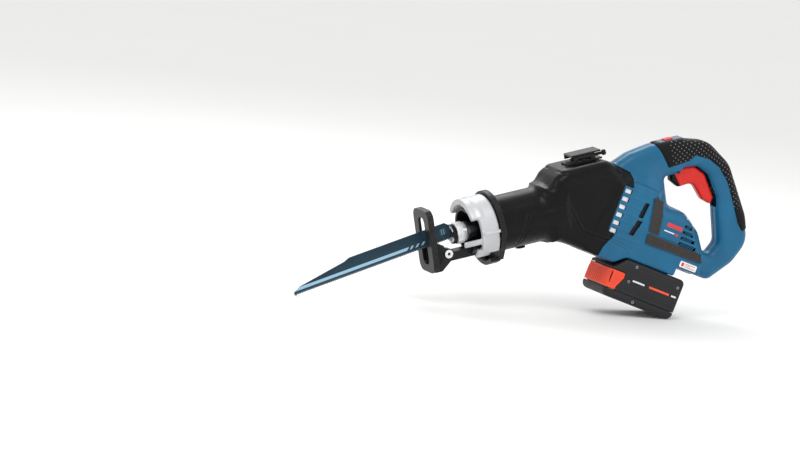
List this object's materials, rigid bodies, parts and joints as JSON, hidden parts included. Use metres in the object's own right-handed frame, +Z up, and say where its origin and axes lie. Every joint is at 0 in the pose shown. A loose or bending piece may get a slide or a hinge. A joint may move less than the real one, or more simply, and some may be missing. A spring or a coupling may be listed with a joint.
{
  "type": "reciprocating saw",
  "caption": "Cordless reciprocating saw with a D-handle, two-finger trigger, tilting slotted shoe, quick blade release, folding hook and slide-on battery pack.",
  "frame": {"origin": "on the surface under the middle of the saw as it rests on the blade tip and the heel of the battery pack", "axes": "-X towards the blade, +Z up, -Y towards the side that carries the blade release lever"},
  "size_m": [0.685, 0.1, 0.2573],
  "materials": {
    "blade_steel": "dark coated saw blade steel with a pale blue ground edge",
    "tool_steel": "ground and oiled tool steel",
    "chuck_white": "bright satin nickel sleeve",
    "lever_silver": "silver paint, satin",
    "spring_steel": "drawn spring wire",
    "black_plastic": "fine-textured black moulding",
    "black_rubber": "soft black overmould with a silky sheen",
    "grey_rubber": "dark grey rubber",
    "black_metal": "black phosphated and oiled steel",
    "bright_steel": "zinc-plated fastener",
    "bronze": "sintered bronze",
    "cast_aluminium": "die-cast aluminium",
    "bearing_steel": "polished bearing steel",
    "motor_iron": "varnished lamination stack with copper windings",
    "circuit": "potted circuit board",
    "lens": "clear lamp lens",
    "blue_plastic": "fine-spark-eroded blue nylon",
    "label": "laminated sticker",
    "red_plastic": "satin red moulding",
    "bezel_plastic": "grey-blue moulding",
    "pack_plastic": "dark grey glass-filled nylon",
    "orange_plastic": "orange-red moulding",
    "cell_can": "shrink-wrapped cell",
    "contact": "plated contact clip"
  },
  "bodies": {
    "saw": {"nose_flange": "black_plastic", "nose_sleeve": "black_plastic", "work_light": "lens", "front_bush": "bronze", "rear_bush": "bronze", "gear_case": "cast_aluminium", "nose_boot": "black_rubber", "crank_bearing": "bearing_steel", "stator": "motor_iron", "front_bearing": "bearing_steel", "rear_bearing": "bearing_steel", "controller": "circuit", "terminal_block": "black_plastic", "housing_left": "blue_plastic", "housing_right": "blue_plastic", "grip_left": "black_rubber", "grip_right": "black_rubber", "side_pad_left": "grey_rubber", "side_pad_right": "grey_rubber", "housing_screws": "bright_steel", "rating_label": "label", "trigger_pin": "tool_steel", "trigger_spring": "spring_steel", "trigger_switch": "black_plastic", "slide_bezel": "bezel_plastic", "hook_base": "black_metal", "hook_rod": "black_metal", "lever_spring": "spring_steel"},
    "plunger": {"plunger": "tool_steel", "yoke": "tool_steel", "chuck_body": "tool_steel", "chuck_ring": "black_plastic", "blade": "blade_steel"},
    "chuck_turn": {"chuck_sleeve": "chuck_white", "chuck_pin": "chuck_white"},
    "lever": {"release_lever": "lever_silver"},
    "shoe_slide": {"shoe_post": "black_metal"},
    "shoe": {"shoe_plate": "black_metal", "shoe_screw": "bright_steel"},
    "shoe_lock": {"shoe_lock": "black_plastic"},
    "rotor": {"drive_pinion": "tool_steel", "motor_shaft": "tool_steel", "rotor_core": "motor_iron", "cooling_fan": "black_plastic"},
    "crank": {"crank_gear": "tool_steel", "crank_shaft": "tool_steel", "crank_pin": "tool_steel", "counterweight": "tool_steel"},
    "trigger": {"trigger": "red_plastic"},
    "slide": {"slide_button": "red_plastic"},
    "hook": {"hook_arm": "black_metal"},
    "pack": {"pack_cover": "pack_plastic", "pack_tray": "pack_plastic", "pack_cells": "cell_can", "pack_contacts": "contact", "pack_screws": "bright_steel", "latch_spring": "spring_steel"},
    "latch": {"pack_latch": "orange_plastic"}
  },
  "joints": [
    {"name": "blade_stroke", "type": "slide", "parent": "saw", "child": "plunger", "axis": [-0.9625, 0, -0.2713], "range_m": [-0.016, 0.016]},
    {"name": "chuck_release", "type": "hinge", "parent": "plunger", "child": "chuck_turn", "pos_m": [-0.10428, 0, 0.10133], "axis": [-0.9625, 0, -0.2713], "range_deg": [0, 35]},
    {"name": "lever_release", "type": "hinge", "parent": "saw", "child": "lever", "pos_m": [-0.08118, 0, 0.10784], "axis": [-0.9625, 0, -0.2713], "range_deg": [0, 35], "stiffness_Nm_per_rad": 0.6, "springref_deg": -17.19},
    {"name": "shoe_depth", "type": "slide", "parent": "saw", "child": "shoe_slide", "axis": [-0.9625, 0, -0.2713], "range_m": [0, 0.024]},
    {"name": "shoe_tilt", "type": "hinge", "parent": "shoe_slide", "child": "shoe", "pos_m": [-0.12553, 0, 0.07352], "axis": [0, 1, 0], "range_deg": [-25, 10]},
    {"name": "shoe_lock_press", "type": "slide", "parent": "saw", "child": "shoe_lock", "axis": [-0.2713, 0, 0.9625], "range_m": [0, 0.001], "stiffness_N_per_m": 900, "springref_m": -0.001},
    {"name": "rotor_spin", "type": "hinge", "parent": "saw", "child": "rotor", "pos_m": [0.0863, 0, 0.15504], "axis": [0.96, 0, -0.28], "continuous": true},
    {"name": "crank_spin", "type": "hinge", "parent": "saw", "child": "crank", "pos_m": [0.0863, 0, 0.15504], "axis": [0, 1, 0], "continuous": true},
    {"name": "trigger_pull", "type": "hinge", "parent": "saw", "child": "trigger", "pos_m": [0.21891, 0, 0.208], "axis": [0, -1, 0], "range_deg": [0, 7], "stiffness_Nm_per_rad": 2, "springref_deg": -6.88, "deforming": ["trigger_spring"]},
    {"name": "speed_slide", "type": "slide", "parent": "saw", "child": "slide", "axis": [0.9625, 0, 0.2713], "range_m": [-0.003, 0.003]},
    {"name": "hook_fold", "type": "hinge", "parent": "saw", "child": "hook", "pos_m": [0.06428, -0.008, 0.21844], "axis": [0.9625, 0, 0.2713], "range_deg": [0, 92]},
    {"name": "pack_slide", "type": "slide", "parent": "saw", "child": "pack", "axis": [0.96, 0, -0.28], "range_m": [0, 0.085]},
    {"name": "latch_press", "type": "slide", "parent": "pack", "child": "latch", "axis": [0.96, 0, -0.28], "range_m": [0, 0.0018], "stiffness_N_per_m": 1500, "springref_m": -0.0015, "deforming": ["latch_spring"]}
  ],
  "couplings": [
    {"joint": "crank_spin", "follows": "rotor_spin", "ratio": -0.2},
    {"joint": "chuck_release", "follows": "lever_release", "ratio": 1}
  ]
}
